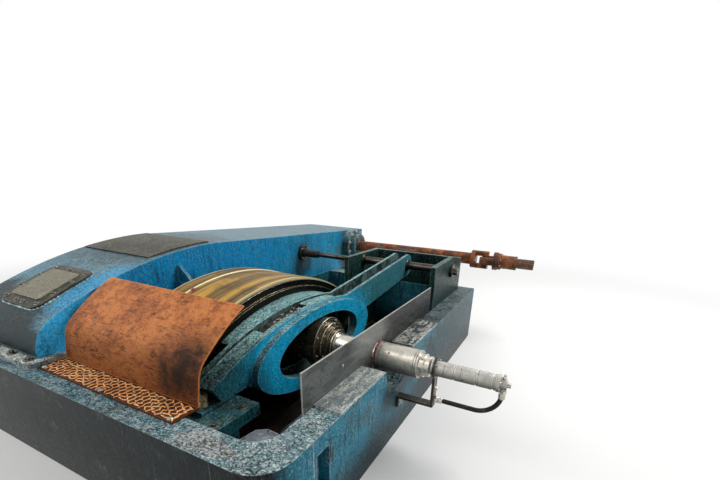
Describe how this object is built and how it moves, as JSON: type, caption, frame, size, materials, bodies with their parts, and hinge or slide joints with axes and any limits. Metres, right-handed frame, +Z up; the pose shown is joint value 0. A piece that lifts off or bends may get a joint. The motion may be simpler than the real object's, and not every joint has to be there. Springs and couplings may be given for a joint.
{
  "type": "rolling mill coiler stand",
  "caption": "Coiler stand of a rolling mill: trough base, drum with curved guard, eyed bridge casting over a turning spindle, gear housing beam and universal drive shaft.",
  "frame": {"origin": "on the floor, under the spindle's axis, in the middle plane of the side wall", "axes": "+X along the spindle towards its free end, +Y along the base towards its far end, +Z up"},
  "size_m": [2.98, 3.55, 0.983],
  "materials": {
    "bracket_green": "dark green teal, oily",
    "bridge_teal": "worn light teal paint",
    "bright_steel": "machined",
    "cell_beige": "beige",
    "cover_grey": "dusty paint",
    "dark_steel": "dark, oily",
    "drum_brass": "oily gold",
    "flange_grey": "grey, dusty",
    "frame_teal": "worn teal paint",
    "guard_copper": "brown, sooty",
    "hose_rubber": "black hose",
    "housing_blue": "oily azure paint",
    "joint_alloy": "turned",
    "oily_black": "black, oily",
    "plate_dark": "dark, oily mat",
    "rust_orange": "rusty",
    "sheet_grey": "dull sheet",
    "splash_grey": "dull grey sheet",
    "sump_dirt": "caked with dirt and oil",
    "tread_copper": "worn tread",
    "wear_steel": "scuffed"
  },
  "bodies": {
    "base": {"near_wall": "frame_teal", "corner_post": "frame_teal", "side_wall": "frame_teal", "far_wall": "frame_teal", "end_wall": "frame_teal", "housing_wall": "frame_teal", "sump_pan": "sump_dirt", "near_wear_plate": "wear_steel", "far_wear_plate": "wear_steel", "tread_plate": "tread_copper", "guard_sheet": "guard_copper", "splash_plate": "splash_grey", "gear_housing": "housing_blue", "foot_flange": "flange_grey", "inspection_cover": "cover_grey", "cover_lid": "cover_grey", "top_plate": "plate_dark", "face_gusset": "housing_blue", "rod_gland": "dark_steel", "guide_rod": "dark_steel", "drive_boss": "housing_blue", "drum_shell": "drum_brass", "drum_near_cheek": "oily_black", "drum_far_cheek": "oily_black", "drum_seal_ring": "oily_black", "spindle_bearing": "oily_black", "rotary_joint": "joint_alloy", "joint_cap": "dark_steel", "torque_strap": "dark_steel", "return_hose": "hose_rubber", "bridge_rear_plate": "bridge_teal", "bridge_front_plate": "bridge_teal", "bridge_web": "bridge_teal", "bridge_lip": "bridge_teal", "load_cell": "cell_beige", "near_foot": "frame_teal", "corner_plate": "sheet_grey", "oil_deflector": "sheet_grey", "pivot_side_cheek": "bracket_green", "pivot_left_cheek": "bracket_green", "pivot_back_plate": "bracket_green", "pivot_pin": "dark_steel"},
    "spindle": {"spindle_shaft": "bright_steel", "spindle_hub": "oily_black", "spindle_sleeve": "bright_steel", "clamp_ring": "bright_steel"},
    "drive_line": {"drive_shaft": "rust_orange", "inner_fork": "rust_orange", "joint_cross": "dark_steel", "outer_fork": "rust_orange"}
  },
  "joints": [
    {"name": "spindle_turn", "type": "hinge", "parent": "base", "child": "spindle", "pos_m": [0, 0, 0.5], "axis": [1, 0, 0], "continuous": true},
    {"name": "drive_turn", "type": "hinge", "parent": "base", "child": "drive_line", "pos_m": [0, 2.16, 0.732], "axis": [1, 0, 0], "continuous": true}
  ]
}
